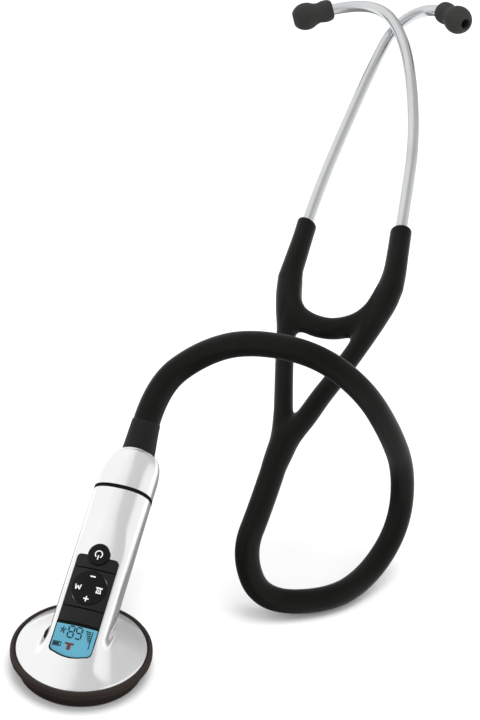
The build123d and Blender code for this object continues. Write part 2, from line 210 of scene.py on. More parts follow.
def make_world():
    """Even pale light. Reflections see broad panels with a grey gap between them, dimmer far behind."""
    world = bpy.data.worlds.new("studio")
    bpy.context.scene.world = world
    world.use_nodes = True
    nodes, links = world.node_tree.nodes, world.node_tree.links
    background = nodes["Background"]
    background.inputs["Color"].default_value = (1, 1, 1, 1)
    background.inputs["Strength"].default_value = 1.04
    direction = nodes.new("ShaderNodeTexCoord")
    split = nodes.new("ShaderNodeSeparateXYZ")
    spread = nodes.new("ShaderNodeMapRange")
    spread.inputs["From Min"].default_value = -1
    ramp = nodes.new("ShaderNodeValToRGB")
    panels = [(0.0, 1.05), (0.30, 1.07), (0.46, 0.90), (0.50, 0.65), (0.82, 0.63), (0.86, 0.92),
              (0.95, 1.02)]
    set_levels(ramp.color_ramp, panels)
    fall, dimmed = nodes.new("ShaderNodeMapRange"), nodes.new("ShaderNodeVectorMath")
    fall.inputs["From Min"].default_value, fall.inputs["From Max"].default_value = 0.72, 0.95
    fall.inputs["To Min"].default_value, fall.inputs["To Max"].default_value = 1.0, 0.7
    dimmed.operation = "SCALE"
    studio = nodes.new("ShaderNodeBackground")
    mix, path = nodes.new("ShaderNodeMixShader"), nodes.new("ShaderNodeLightPath")
    links.new(direction.outputs["Generated"], split.inputs[0])
    links.new(split.outputs["X"], spread.inputs["Value"])
    links.new(spread.outputs["Result"], ramp.inputs["Fac"])
    links.new(split.outputs["Y"], fall.inputs["Value"])
    links.new(ramp.outputs["Color"], dimmed.inputs[0])
    links.new(fall.outputs["Result"], dimmed.inputs["Scale"])
    links.new(dimmed.outputs["Vector"], studio.inputs["Color"])
    links.new(path.outputs["Is Glossy Ray"], mix.inputs["Fac"])
    links.new(background.outputs[0], mix.inputs[1])
    links.new(studio.outputs[0], mix.inputs[2])
    links.new(mix.outputs[0], nodes["World Output"].inputs["Surface"])


def make_light(name, place, target, size, watts):
    data = bpy.data.lights.new(name, "AREA")
    data.shape, data.size, data.energy = "DISK", size, watts
    light = bpy.data.objects.new(name, data)
    bpy.context.scene.collection.objects.link(light)
    light.location = place
    light.rotation_mode = "QUATERNION"
    light.rotation_quaternion = (Vector(target) - Vector(place)).to_track_quat("-Z", "Y")
    light.visible_glossy = False          # the silver shows the studio's panels, and not the lamp


# ---------------------------------------------------------------- materials
def finish(name, colour, drift, roughness, grain=900, bump=0.0, metallic=0.0, specular=0.5, coat=0.0,
           coat_roughness=0.05, spread=0.06, stretch=(1, 1, 1)):
    """A surface whose colour drifts between two tones, with a fine grain in roughness and height."""
    material = bpy.data.materials.new(name)
    material.use_nodes = True
    nodes, links = material.node_tree.nodes, material.node_tree.links
    shader = nodes["Principled BSDF"]
    for socket, value in (("Metallic", metallic), ("Specular IOR Level", specular), ("Coat Weight", coat),
                          ("Coat Roughness", coat_roughness)):
        shader.inputs[socket].default_value = value
    place, scale = nodes.new("ShaderNodeTexCoord"), nodes.new("ShaderNodeMapping")
    scale.inputs["Scale"].default_value = stretch
    links.new(place.outputs["Object"], scale.inputs["Vector"])

    def noise(size, detail):
        node = nodes.new("ShaderNodeTexNoise")
        node.inputs["Scale"].default_value = size
        node.inputs["Detail"].default_value = detail
        links.new(scale.outputs[0], node.inputs["Vector"])
        return node

    cloud, fine = noise(60, 3), noise(grain, 4)
    ramp = nodes.new("ShaderNodeValToRGB")
    ramp.color_ramp.elements[0].position, ramp.color_ramp.elements[1].position = 0.35, 0.65
    ramp.color_ramp.elements[0].color, ramp.color_ramp.elements[1].color = (*colour, 1), (*drift, 1)
    links.new(cloud.outputs["Fac"], ramp.inputs["Fac"])
    links.new(ramp.outputs["Color"], shader.inputs["Base Color"])
    rough = nodes.new("ShaderNodeMapRange")
    rough.inputs["To Min"].default_value = max(0.02, roughness - spread)
    rough.inputs["To Max"].default_value = roughness + spread
    links.new(fine.outputs["Fac"], rough.inputs["Value"])
    links.new(rough.outputs["Result"], shader.inputs["Roughness"])
    if bump:
        relief = nodes.new("ShaderNodeBump")
        relief.inputs["Strength"].default_value = 0.6
        relief.inputs["Distance"].default_value = bump * MM
        links.new(fine.outputs["Fac"], relief.inputs["Height"])
        links.new(relief.outputs["Normal"], shader.inputs["Normal"])
    return material


def grey(level):
    return level, level, level


def make_finishes():
    return {
        "silver_lacquer": finish("silver_lacquer", (0.84, 0.84, 0.845), (0.86, 0.86, 0.865), 0.20, 2400,
                                 metallic=0.93, coat=0.15, coat_roughness=0.10, spread=0.02),
        "rim_rubber": finish("rim_rubber", (0.016, 0.010, 0.008), (0.023, 0.015, 0.012), 0.42, 700, 0.01,
                             specular=0.2),
        "diaphragm_film": finish("diaphragm_film", grey(0.09), grey(0.12), 0.55, 3000, 0.01),
        "foam": finish("foam", grey(0.14), grey(0.22), 0.95, 1500, 0.2),
        "sensor_metal": finish("sensor_metal", (0.72, 0.55, 0.28), (0.78, 0.60, 0.33), 0.3, metallic=1.0),
        "inner_plastic": finish("inner_plastic", grey(0.13), grey(0.16), 0.5, 1500, 0.02),
        "steel": finish("steel", grey(0.60), grey(0.66), 0.28, 2000, metallic=1.0),
        "circuit_board": finish("circuit_board", (0.02, 0.17, 0.08), (0.03, 0.21, 0.10), 0.35),
        "chip_black": finish("chip_black", grey(0.025), grey(0.035), 0.5, 2500, 0.01),
        "display_blue": finish("display_blue", (0.088, 0.30, 0.41), (0.105, 0.33, 0.44), 0.25, 1500,
                               coat=0.2, coat_roughness=0.05, specular=0.15),
        "panel_dark": finish("panel_dark", grey(0.008), grey(0.011), 0.35, 1800, 0.01, specular=0.18),
        "keypad_dark": finish("keypad_dark", grey(0.004), grey(0.006), 0.42, 1800, 0.01, specular=0.12),
        "battery_jacket": finish("battery_jacket", grey(0.22), (0.26, 0.27, 0.30), 0.3, coat=0.3),
        "seal_black": finish("seal_black", grey(0.004), grey(0.006), 0.7, specular=0.08),
        "speaker_metal": finish("speaker_metal", grey(0.45), grey(0.52), 0.4, metallic=1.0),
        "relief_rubber": finish("relief_rubber", grey(0.007), grey(0.009), 0.55, 1600, 0.015, specular=0.15),
        "tube_black": finish("tube_black", (0.0036, 0.0036, 0.0030), (0.0050, 0.0050, 0.0042), 0.36, 1200,
                             0.006, specular=0.10),
        "satin_aluminium": finish("satin_aluminium", (0.60, 0.61, 0.62), (0.64, 0.65, 0.66), 0.24, 1800,
                                  0.003, metallic=1.0, spread=0.05),
        "eartip_rubber": finish("eartip_rubber", (0.021, 0.021, 0.020), (0.028, 0.028, 0.026), 0.62, 1500,
                                0.02, specular=0.2),
        "print_white": finish("print_white", grey(0.75), grey(0.82), 0.6, spread=0.02),
        "segment_dark": finish("segment_dark", (0.008, 0.024, 0.035), (0.012, 0.03, 0.04), 0.5,
                               specular=0.2),
        "segment_red": finish("segment_red", (0.11, 0.028, 0.024), (0.13, 0.035, 0.03), 0.5,
                              specular=0.2),
    }


# ---------------------------------------------------------------- mesh making
def placed_mesh(name, points, faces, frame_of):
    """A mesh in metres in the row's frame, from points in millimetres in one of the three frames."""
    turn = np.array(frame_of)
    places = (np.asarray(points, float) @ turn[:3, :3].T + turn[:3, 3]) * MM
    mesh = bpy.data.meshes.new(name)
    mesh.from_pydata(places.tolist(), [], [tuple(int(i) for i in f) for f in faces])
    return mesh


def add_piece(name, points, faces, look, body, frame_of=ROW, stands_for=(), sharp=32, slot=True):
    """A visible piece: its mesh, its finish, the body it rides and the CAD nodes it stands for."""
    mesh = placed_mesh(name, points, faces, frame_of)
    mesh.validate()
    piece = bpy.data.objects.new(name, mesh)
    bpy.context.scene.collection.objects.link(piece)
    fix_normals(mesh)
    mesh.shade_smooth()
    mesh.set_sharp_from_angle(angle=radians(sharp))
    mesh.materials.append(FINISH[look])
    if body:
        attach(piece, body)
    if stands_for:
        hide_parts(*stands_for)
    return piece


def fix_normals(mesh):
    work = bmesh.new()
    work.from_mesh(mesh)
    bmesh.ops.recalc_face_normals(work, faces=work.faces)
    work.to_mesh(mesh)
    work.free()


def skin(rings, loop=False):
    """Points and faces of a shell over rings of equal count: a closed loop, or with a fan at each end."""
    rings = np.asarray(rings, float)
    count, sides = rings.shape[:2]
    points = rings.reshape(-1, 3)
    faces = []
    for i in range(count if loop else count - 1):
        a, b = i * sides, (i + 1) % count * sides
        for j in range(sides):
            k = (j + 1) % sides
            faces.append((a + j, a + k, b + k, b + j))
    if not loop:
        for first in (0, (count - 1) * sides):
            points = np.vstack([points, points[first:first + sides].mean(0)])
            faces += [(first + j, first + (j + 1) % sides, len(points) - 1) for j in range(sides)]
    return points, faces


def rounded_line(points, steps=8):
    """A smooth line through given points (Catmull-Rom)."""
    points = np.asarray(points, float)
    padded = np.vstack([2 * points[0] - points[1], points, 2 * points[-1] - points[-2]])
    line = []
    for a, b, c, d in zip(padded, padded[1:], padded[2:], padded[3:]):
        for t in np.linspace(0, 1, steps, endpoint=False):
            line.append(0.5 * (2 * b + (c - a) * t + (2 * a - 5 * b + 4 * c - d) * t * t
                               + (3 * b - 3 * c + d - a) * t ** 3))
    return np.array(line + [points[-1]])


def circle(radius, sides=64):
    turn = np.linspace(0, 2 * pi, sides, endpoint=False)
    return np.stack([radius * np.cos(turn), radius * np.sin(turn)], -1)


def turned(outline, sides=96):
    """Rings of a closed outline of (radius, height) turned about z."""
    return [np.hstack([circle(r, sides), np.full((sides, 1), z)]) for r, z in outline]


def oval(a, b, squareness=SQUARENESS, sides=128):
    """The handle's section: an ellipse with slightly squared shoulders."""
    turn = np.linspace(0, 2 * pi, sides, endpoint=False)
    c, s = np.cos(turn), np.sin(turn)
    reach = (np.abs(c / a) ** squareness + np.abs(s / b) ** squareness) ** (-1 / squareness)
    return np.stack([reach * c, reach * s], -1)


def across(section, along):
    """A section of (x, z) placed at a station along the handle."""
    return np.stack([section[:, 0], np.full(len(section), along), section[:, 1]], -1)


def centreline(points):
    """The smooth line that a second-degree NURBS draws for a list of points."""
    data = bpy.data.curves.new("line", "CURVE")
    data.dimensions = "3D"
    spline = data.splines.new("NURBS")
    spline.points.add(len(points) - 1)
    for point, place in zip(spline.points, points):
        point.co = (*place, 1)
    spline.order_u = 3
    spline.use_endpoint_u = True
    spline.resolution_u = 20
    holder = bpy.data.objects.new("line", data)
    mesh = bpy.data.meshes.new_from_object(holder)
    line = np.array([v.co for v in mesh.vertices], float)
    bpy.data.objects.remove(holder)
    bpy.data.curves.remove(data)
    bpy.data.meshes.remove(mesh)
    return line


def swept(line, radii, sides=48):
    """Rings of the given radii along a line, with no twist."""
    ways = np.gradient(line, axis=0)
    ways /= np.linalg.norm(ways, axis=1)[:, None]
    side = np.cross(ways[0], (0.3, 0.2, 0.93))
    rings = []
    unit = circle(1, sides)
    for point, way, radius in zip(line, ways, np.broadcast_to(radii, len(line))):
        side = side - way * (side @ way)
        side /= np.linalg.norm(side)
        other = np.cross(way, side)
        rings.append(point + radius * (unit[:, :1] * side + unit[:, 1:] * other))
    return rings


# ---------------------------------------------------------------- smooth solids from distance fields
def smooth_min(a, b, k):
    """The smaller of two distances, faired where they are within k of each other."""
    overlap = np.clip(k - np.abs(a - b), 0, None) / k
    return np.minimum(a, b) - overlap * overlap * k / 4


def smooth_max(a, b, k):
    return -smooth_min(-a, -b, k)


def ease(value, low, high):
    """From 0 at low to 1 at high, level at both ends."""
    t = np.clip((value - low) / (high - low), 0, 1)
    return t * t * (3 - 2 * t)


def limb_distance(p, line, main):
    """Distance to a round limb whose line of (u, v, n, radius) runs along axis number main."""
    other = 1 - main
    at = np.clip(p[..., main], line[0, main], line[-1, main])
    middle, out, radius, lean, rise = (np.interp(at, line[:, main], values) for values in (
        line[:, other], line[:, 2], line[:, 3], np.gradient(line[:, other], line[:, main]),
        np.gradient(line[:, 2], line[:, main])))
    aside, above = p[..., other] - middle, p[..., 2] - out
    square = aside ** 2 + above ** 2 - (aside * lean + above * rise) ** 2 / (1 + lean ** 2 + rise ** 2)
    return np.sqrt(square + (p[..., main] - at) ** 2) - radius


def slope(field, p, step=0.05):
    """The field's unit gradient."""
    g = np.stack([field(p + o) - field(p - o) for o in np.eye(3) * step], -1)
    return g / np.maximum(np.linalg.norm(g, axis=-1, keepdims=True), 1e-9)


def surface_of(field, low, high, step):
    """Points and four-sided faces of the closed surface where the field is zero."""
    axes = [np.arange(a, b + step, step) for a, b in zip(low, high)]
    inside = field(np.stack(np.meshgrid(*axes, indexing="ij"), -1)) < 0
    corners = [inside[i:len(axes[0]) - 1 + i, j:len(axes[1]) - 1 + j, k:len(axes[2]) - 1 + k]
               for i in (0, 1) for j in (0, 1) for k in (0, 1)]
    filled = sum(c.astype(int) for c in corners)
    crossed = (filled > 0) & (filled < 8)
    index = np.full(crossed.shape, -1)
    index[crossed] = np.arange(crossed.sum())
    cells = np.argwhere(crossed)
    points = np.stack([axes[i][cells[:, i]] + step / 2 for i in range(3)], -1)
    start = points.copy()
    for _ in range(6):                    # steps towards the surface, each point staying near its own cell
        move = points - slope(field, points) * field(points)[:, None]
        points = start + np.clip(move - start, -0.9 * step, 0.9 * step)
    faces = []
    for axis in range(3):
        solid, cell = np.moveaxis(inside, axis, 0), np.moveaxis(index, axis, 0)
        edge = (solid[:-1] != solid[1:])[:, 1:-1, 1:-1]
        i, j, k = np.nonzero(edge)
        ring = np.stack([cell[i, j, k], cell[i, j + 1, k], cell[i, j + 1, k + 1], cell[i, j, k + 1]], -1)
        low_inside = solid[i, j + 1, k + 1]
        turn = low_inside == (axis == 1)
        ring[turn] = ring[turn][:, ::-1]
        faces.append(ring)
    return points, np.vstack(faces)


def take_normals(piece, field, frame_of):
    """Shade each corner by the field's own slope, except on cut faces, which keep their own."""
    mesh = piece.data
    back = np.array(frame_of.inverted())
    turn = np.array(frame_of)[:3, :3]
    places = np.array([v.co for v in mesh.vertices]) / MM
    local = places @ back[:3, :3].T + back[:3, 3]
    normals = slope(field, local) @ turn.T
    near = np.abs(field(local)) < 0.15    # so not on what was carved
    chosen = []
    for polygon in mesh.polygons:
        flat = np.array(polygon.normal)
        for vertex in polygon.vertices:
            follows = near[vertex] and normals[vertex] @ flat > 0.82      # within about 35 degrees
            chosen.append(tuple(normals[vertex] if follows else flat))
    mesh.normals_split_custom_set(chosen)


def carve(piece, tool):
    """Cut the tool's solid out of a piece, and remove the tool."""
    change = piece.modifiers.new("carve", "BOOLEAN")
    change.object, change.operation, change.solver = tool, "DIFFERENCE", "EXACT"
    bpy.context.view_layer.update()
    seen = piece.evaluated_get(bpy.context.evaluated_depsgraph_get())
    mesh = bpy.data.meshes.new_from_object(seen)
    piece.modifiers.clear()
    piece.data = mesh
    bpy.data.objects.remove(tool)


def cutter(points, faces, frame_of=ROW):
    """A solid that is only there to cut with."""
    mesh = placed_mesh("cutter", points, faces, frame_of)
    fix_normals(mesh)
    tool = bpy.data.objects.new("cutter", mesh)
    bpy.context.scene.collection.objects.link(tool)
    return tool


# ---------------------------------------------------------------- flat pieces of the panel
def crowned(points):
    """Bend panel pieces over the handle: low at the long edges, level at the panel's floor."""
    points = np.array(points, float)
    share = np.minimum((points[:, 2] - PANEL_FLOOR) / (PANEL_TOP - PANEL_FLOOR), 1)
    points[:, 2] += share * CROWN * (0.5 - (points[:, 0] / PANEL_HALF) ** 2)
    return points


def slab(outline, low, high, edge=0.15):
    """Rings up the side of a flat piece with a softened top edge."""
    outline = np.asarray(outline, float)
    ahead, behind = np.roll(outline, -1, 0), np.roll(outline, 1, 0)
    way = ahead - behind
    out = np.stack([way[:, 1], -way[:, 0]], -1)
    out /= np.maximum(np.linalg.norm(out, axis=1)[:, None], 1e-9)
    area = np.sum(outline[:, 0] * ahead[:, 1] - ahead[:, 0] * outline[:, 1])
    if area < 0:
        out = -out
    levels = [(0, low), (0, high - edge), (0.3 * edge, high - 0.3 * edge), (edge, high)]
    return [np.hstack([outline - out * inset, np.full((len(outline), 1), z)]) for inset, z in levels]


def filled_slab(outline, low, high, edge=0.15):
    """A slab whose top is a grid of narrowing rings about its middle, so that it can bend."""
    rings = slab(outline, low, high, edge)
    top = rings[-1]
    middle = top.mean(0)
    rings += [middle + (top - middle) * share for share in TOP_RINGS]
    return skin(rings)


def finely_cut(outline):
    """A closed outline with no side much longer than a millimetre, so that its piece can bend."""
    dense = []
    for a, b in zip(outline, outline[1:] + outline[:1]):
        a, b = np.array(a), np.array(b)
        count = max(1, int(np.linalg.norm(b - a)))
        dense += [a + (b - a) * t / count for t in range(count)]
    return np.array(dense)


def rounded_box(x0, x1, y0, y1, radii, steps=8):
    """Outline of a box with its own radius at each corner: low left, low right, high right, high left."""
    corners = [(x0, y0, 180), (x1, y0, 270), (x1, y1, 0), (x0, y1, 90)]
    outline = []
    for (x, y, start), r in zip(corners, radii):
        cx, cy = x + (r if x == x0 else -r), y + (r if y == y0 else -r)
        for t in np.linspace(0, 90, steps + 1):
            angle = radians(start + t)
            outline.append((cx + r * cos(angle), cy + r * sin(angle)))
    return finely_cut(outline)


def ribbon(points, width):
    """Outline of a flat stroke along a line of (x, y)."""
    points = np.asarray(points, float)
    way = np.gradient(points, axis=0)
    way /= np.linalg.norm(way, axis=1)[:, None]
    out = np.stack([-way[:, 1], way[:, 0]], -1) * width / 2
    return np.vstack([points + out, (points - out)[::-1]])


def join(parts):
    """Several (points, faces) as one."""
    points, faces, count = [], [], 0
    for p, f in parts:
        points.append(np.asarray(p, float))
        faces += [tuple(int(i) + count for i in face) for face in f]
        count += len(p)
    return np.vstack(points), faces


def print_marks(strokes, at, height, thickness=0.06):
    """Raised prints from outlines of (x, y), as thin prisms on the crowned panel."""
    parts = []
    for outline in strokes:
        outline = np.asarray(outline, float) + np.array(at)
        low = np.hstack([outline, np.full((len(outline), 1), height)])
        high = low + (0, 0, thickness)
        n = len(outline)
        faces = [tuple(range(n)), tuple(range(n, 2 * n))]
        faces += [(i, (i + 1) % n, n + (i + 1) % n, n + i) for i in range(n)]
        parts.append((np.vstack([low, high]), faces))
    return join(parts)


def arc_line(radius, start, end, steps=24):
    """Points along an arc between two angles in degrees."""
    return [(radius * cos(radians(a)), radius * sin(radians(a))) for a in np.linspace(start, end, steps)]


# ---------------------------------------------------------------- housing
def barrel_distance(across_x, out, a=HANDLE_A, b=HANDLE_B, p=SQUARENESS):
    """Distance to the handle's squared ellipse, near enough close to its surface."""
    u, w = np.abs(across_x / a) + 1e-9, np.abs(out / b) + 1e-9
    f = (u ** p + w ** p) ** (1 / p)
    steep = f ** (1 - p) * np.hypot(u ** (p - 1) / a, w ** (p - 1) / b)
    return (f - 1) / steep


def housing_field(p):
    """The dome and the handle's barrel, faired together: broadly in front, tightly beside the handle."""
    x, y, z = p[..., 0], p[..., 1], p[..., 2]
    along = y * cos(TILT) + (z - AXIS_RISE) * sin(TILT)
    out = (z - AXIS_RISE) * cos(TILT) - y * sin(TILT)
    barrel = barrel_distance(x, out)
    flat = FLAT_TOP + CROWN * (0.5 - (x / PANEL_HALF) ** 2)         # the panel's face, which runs out
    flat = flat + (HANDLE_B + 2.0 - flat) * ease(along, 29, 52)     # above the power button
    barrel = smooth_max(barrel, out - flat, 1.6)
    barrel = smooth_max(barrel, LCD_START - 2.6 - along, 5.0)
    barrel = smooth_max(barrel, along - SEAM - 4, 0.5)
    dome = np.sqrt(x * x + y * y + (z - DOME_TOP + DOME_SPHERE) ** 2) - DOME_SPHERE
    dome = smooth_max(dome, np.hypot(x, y) - DOME_R + 0.1, 0.8)
    fillet = 2.4 + 5.0 * ease(-y, -6, 18)
    body = smooth_min(barrel, dome, fillet)
    return smooth_max(body, DOME_FOOT - z, 0.3)


def display_outline(grow=0.0):
    """The window: straight sides, a square top, and a foot that bulges between two rounded corners."""
    half, corner, bulge = PANEL_HALF + grow, 2.2, 1.5
    foot, top = LCD_START - grow, LCD_END + grow
    points = [(half, top), (half, foot + bulge + corner)]
    points += [(half - corner + corner * cos(radians(a)), foot + bulge + corner * (1 + sin(radians(a))))
               for a in (-20, -40, -60, -75)]
    points += [(x, foot + bulge * (x / (half - corner)) ** 2) for x in np.linspace(half - corner, 0, 9)[1:]]
    points += [(-x, y) for x, y in points[-2::-1]]
    return finely_cut(points)


def flat_prism(outline, low, high):
    """A straight prism over an outline of (x, y)."""
    n = len(outline)
    rings = [np.hstack([outline, np.full((n, 1), z)]) for z in (low, high)]
    return skin(rings)


def make_housing():
    """The silver shell, open at its seam and hollow, with the panel's recesses cut into it."""
    points, faces = surface_of(housing_field, (-28, -28, 5.5), (28, 64, 64), 0.62)
    shell = add_piece("silver_shell", points, faces, "silver_lacquer", None)
    far = 40
    beyond = np.array([(-far, SEAM), (far, SEAM), (far, SEAM + far), (-far, SEAM + far)])
    carve(shell, cutter(*flat_prism(beyond, -far, far), LEVEL))
    hollow = oval(HANDLE_A - WALL, HANDLE_B - WALL, sides=96)
    hollow[:, 1] = np.minimum(hollow[:, 1], PANEL_FLOOR - 1.0)
    carve(shell, cutter(*skin([across(hollow, 0.6), across(hollow, SEAM + 5)]), LEVEL))
    carve(shell, cutter(*flat_prism(display_outline(PANEL_GAP), PANEL_FLOOR, CLEAR), LEVEL))
    half = PANEL_HALF + PANEL_GAP
    panel = rounded_box(-half, half, LCD_END - 0.5, PANEL_END, (0.1, 0.1, 1.6, 1.6))
    carve(shell, cutter(*flat_prism(panel, PANEL_FLOOR, CLEAR), LEVEL))
    button = circle(BUTTON_R + 0.25) + (0, BUTTON_AT)
    carve(shell, cutter(*flat_prism(button, PANEL_FLOOR, CLEAR), LEVEL))
    sensor_room = [(0.5, 5), (23.2, 5), (23.2, 8.4), (12, 12.2), (0.5, 12.2)]
    carve(shell, cutter(*skin(turned(sensor_room)), ROW))
    shell.data.shade_smooth()
    take_normals(shell, housing_field, ROW)
    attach(shell, "chestpiece")
    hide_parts("housing")


def make_painted_shade():
    """Painted shade: a black insert let into the lacquer where the handle's left side meets the dome,
    standing in for the shadow in that crease.
    """
    route = [(-12.9, 0.5, 16.4), (-12.7, -2.5, 17.0), (-12.5, -5.5, 17.2), (-12.2, -9.6, 17.4)]
    line = rounded_line(route, 6)
    for _ in range(5):                    # draws the line in to just under the lacquer's surface
        line = line - slope(housing_field, line) * (housing_field(line)[:, None] + 0.3)
    radii = np.interp(np.linspace(0, 1, len(line)), (0, 0.25, 0.7, 0.9, 1), (0.31, 0.8, 1.2, 1.0, 0.35))
    # the black piece paints the crease's shadow; there is no real slot here
    add_piece("painted_shade_slot", *skin(swept(line, radii, 24)), "seal_black", "chestpiece", slot=False)


def make_rim():
    """The soft ring round the dome, with a fine groove about its side."""
    outline = [(24.0, 5.9), (27.7, 5.9), (28.2, 6.1), (28.48, 6.6), (28.5, 7.6), (28.38, 7.72),
               (28.38, 7.84), (28.5, 7.96), (28.45, 8.5), (28.15, 8.95), (27.6, 9.15), (27.1, 9.15),
               (26.8, 8.95), (26.7, 8.6), (26.62, 6.9), (24.0, 6.9)]
    add_piece("soft_rim", *skin(turned(outline, 160), loop=True), "rim_rubber", "chestpiece",
              stands_for=["head_rim"], sharp=50)


def make_cap():
    """The end cap, one closed shell from its rounded nose to the spigot in the handle, and its seal."""
    stations = rounded_line([(CAP_START + 0.15, HANDLE_A, HANDLE_B), (64.5, 12.15, 10.5),
                             (69.0, 11.75, 10.3), (72.3, 11.0, 9.85), (74.8, 9.9, 9.0),
                             (CAP_END - 0.6, 8.2, 7.9)], 8)
    rings = [across(oval(12.0, 10.3), CAP_START)]
    for y, a, b in stations:
        squareness = SQUARENESS + (2.0 - SQUARENESS) * float(ease(y, 66, 75))
        rings.append(across(oval(a, b, squareness), y) + (NOSE_SHIFT * float(ease(y, 62, CAP_END)), 0, 0))
    for y, r in ((CAP_END - 0.15, 7.65), (CAP_END, 7.3), (CAP_END, 5.05), (68, 5.05)):
        rings.append(across(oval(r, r, 2.0), y) + (NOSE_SHIFT, 0, 0))
    for y, a, b in ((68, 9.3, 7.7), (CAP_START - 3.6, 9.3, 7.7), (CAP_START - 3.6, 10.6, 8.9),
                    (CAP_START, 10.6, 8.9)):
        rings.append(across(oval(a, b), y))
    add_piece("silver_cap", *skin(rings, loop=True), "silver_lacquer", "tubing", LEVEL, ["end_cap"])
    low, high, soft = SEAM - SEAL_REACH, CAP_START + SEAL_REACH, 0.08
    ring = [across(oval(a, b), y) for y, a, b in (
        (low, 12.15, 10.45), (low + soft, 12.27, 10.57), (high - soft, 12.27, 10.57),
        (high, 12.15, 10.45), (high, 10.65, 8.95), (low, 10.65, 8.95))]
    add_piece("seam_ring", *skin(ring, loop=True), "seal_black", "tubing", LEVEL, ["seam_seal"])


def make_relief():
    """Tapered sleeve that turns from the handle's direction into the tube's, with a soft lip."""
    out = np.array(LEVEL)[:3, 1]
    base = np.array(LEVEL @ Vector((NOSE_SHIFT, CAP_END - 0.1, 0)))
    tip = np.array(ROUTE[0], float)
    way = np.array(ROUTE[1], float) - tip
    way /= np.linalg.norm(way)
    length = np.linalg.norm(tip - base)
    line, radii = [base - out * 8, base - out * 0.01], [4.95, 4.95]
    for t in np.linspace(0, 1, 15):
        pull = 0.38 * length
        a, b, c, d = base, base + out * pull, tip - way * pull, tip
        line.append(a * (1 - t) ** 3 + 3 * b * t * (1 - t) ** 2 + 3 * c * t * t * (1 - t) + d * t ** 3)
        radii.append(7.15 - 1.05 * t ** 0.9)
    for reach, radius in ((0.35, 6.08), (0.62, 5.95), (0.75, 5.7), (0.75, 4.9)):
        line.append(tip + way * reach)
        radii.append(radius)
    rings = relief_rings(np.array(line), radii)
    add_piece("relief_sleeve", *skin(rings), "relief_rubber", "tubing", stands_for=["strain_relief"])


def relief_rings(line, radii, sides=64):
    """Rings along a line whose points may coincide, each square to the line's smoothed direction."""
    ways = []
    for i in range(len(line)):
        way = line[min(i + 2, len(line) - 1)] - line[max(i - 2, 0)]
        ways.append(way / np.linalg.norm(way))
    unit = circle(1, sides)
    rings = []
    for point, way, radius in zip(line, ways, radii):
        side = np.array((1.0, 0, 0)) - way * way[0]
        side /= np.linalg.norm(side)
        rings.append(point + radius * (unit[:, :1] * side + unit[:, 1:] * np.cross(way, side)))
    return rings


# ---------------------------------------------------------------- panel
def make_panel():
    """The control panel: a thin film with three raised bands, and a well for each key."""
    film = filled_slab(rounded_box(-PANEL_HALF, PANEL_HALF, LCD_END + 0.1, PANEL_END - 0.1,
                                   (0.1, 0.1, 1.5, 1.5)), PANEL_FLOOR, PANEL_FLOOR + 0.06, 0.02)
    parts = [film]
    gap = 0.26
    bands = [(LCD_END + 0.15, GROOVES[0] - gap, (0.2, 0.2, 0.2, 0.2)),
             (GROOVES[0] + gap, GROOVES[1] - gap, (0.2, 0.2, 0.2, 0.2)),
             (GROOVES[1] + gap, PANEL_END - 0.12, (0.2, 0.2, 1.5, 1.5))]
    for low, high, radii in bands:
        outline = rounded_box(-PANEL_HALF + 0.05, PANEL_HALF - 0.05, low, high, radii)
        points, faces = filled_slab(outline, PANEL_FLOOR + 0.14, PANEL_TOP)
        parts.append((crowned(points), faces))
    points, faces = join(parts)
    panel = add_piece("panel_plate", points, faces, "panel_dark", None, LEVEL, sharp=40)
    wells = ((KEYPAD_AT, KEYPAD_R, PANEL_FLOOR - 1), (BUTTON_AT, BUTTON_R, PANEL_FLOOR + 0.1))
    for at, radius, floor in wells:
        carve(panel, cutter(*flat_prism(circle(radius + KEY_GAP, 96) + (0, at), floor, CLEAR), LEVEL))
    panel.data.shade_smooth()
    panel.data.set_sharp_from_angle(angle=radians(40))
    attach(panel, "chestpiece")
    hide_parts("control_panel")


def disc(radius, at, low, high, edge, dish):
    """A round key with a soft edge and a dished or domed top."""
    levels = [(radius, low), (radius, high - edge), (radius - 0.3 * edge, high - 0.3 * edge),
              (radius - edge, high)]
    levels += [(radius * s, high - dish * (1 - (s * radius / (radius - edge)) ** 2)) for s in TOP_RINGS]
    rings = [np.hstack([circle(r, 96) + (0, at), np.full((96, 1), z)]) for r, z in levels]
    points, faces = skin(rings)
    return crowned(points), faces


def make_keys():
    """The four-way rocker, and the power button with a fine ring on its top."""
    add_piece("rocker_key", *disc(KEYPAD_R, KEYPAD_AT, PANEL_FLOOR + 0.5, PANEL_TOP + 0.22, 0.25, 0.22),
              "keypad_dark", "keypad", LEVEL, ["keypad"], sharp=60)
    add_piece("power_key", *disc(BUTTON_R, BUTTON_AT, PANEL_FLOOR + 0.6, PANEL_TOP + 0.95, 0.4, 0.12),
              "keypad_dark", "power_button", LEVEL, ["power_button"], sharp=60)
    section = [(3.55, 0.88), (3.62, 0.93), (3.78, 0.93), (3.85, 0.88)]
    ring = [np.hstack([circle(r, 96) + (0, BUTTON_AT), np.full((96, 1), PANEL_TOP + z)]) for r, z in section]
    points, faces = skin(ring, loop=True)
    add_piece("power_key_ring", crowned(points), faces, "panel_dark", "power_button", LEVEL)


def make_display():
    """The window on its dark bed, which shows as a thin line about it and as a band at its top."""
    points, faces = filled_slab(display_outline(0.08), PANEL_FLOOR + 0.01, PANEL_TOP - 0.25, 0.05)
    add_piece("display_gasket", crowned(points), faces, "seal_black", "chestpiece", LEVEL)
    glass = display_outline(-0.32)        # drawn in all round, and more at its top
    ends = (LCD_START, LCD_START + 4, LCD_END - 4, LCD_END)
    glass[:, 1] += np.interp(glass[:, 1], ends, (0.35, 0, 0, -0.85))
    points, faces = filled_slab(glass, PANEL_TOP - 0.24, PANEL_TOP, 0.08)
    add_piece("display_glass", crowned(points), faces, "display_blue", "chestpiece", LEVEL,
              ["display_window"], sharp=50)


SEGMENTS = {"8": "abcdefg", "9": "abcdfg"}


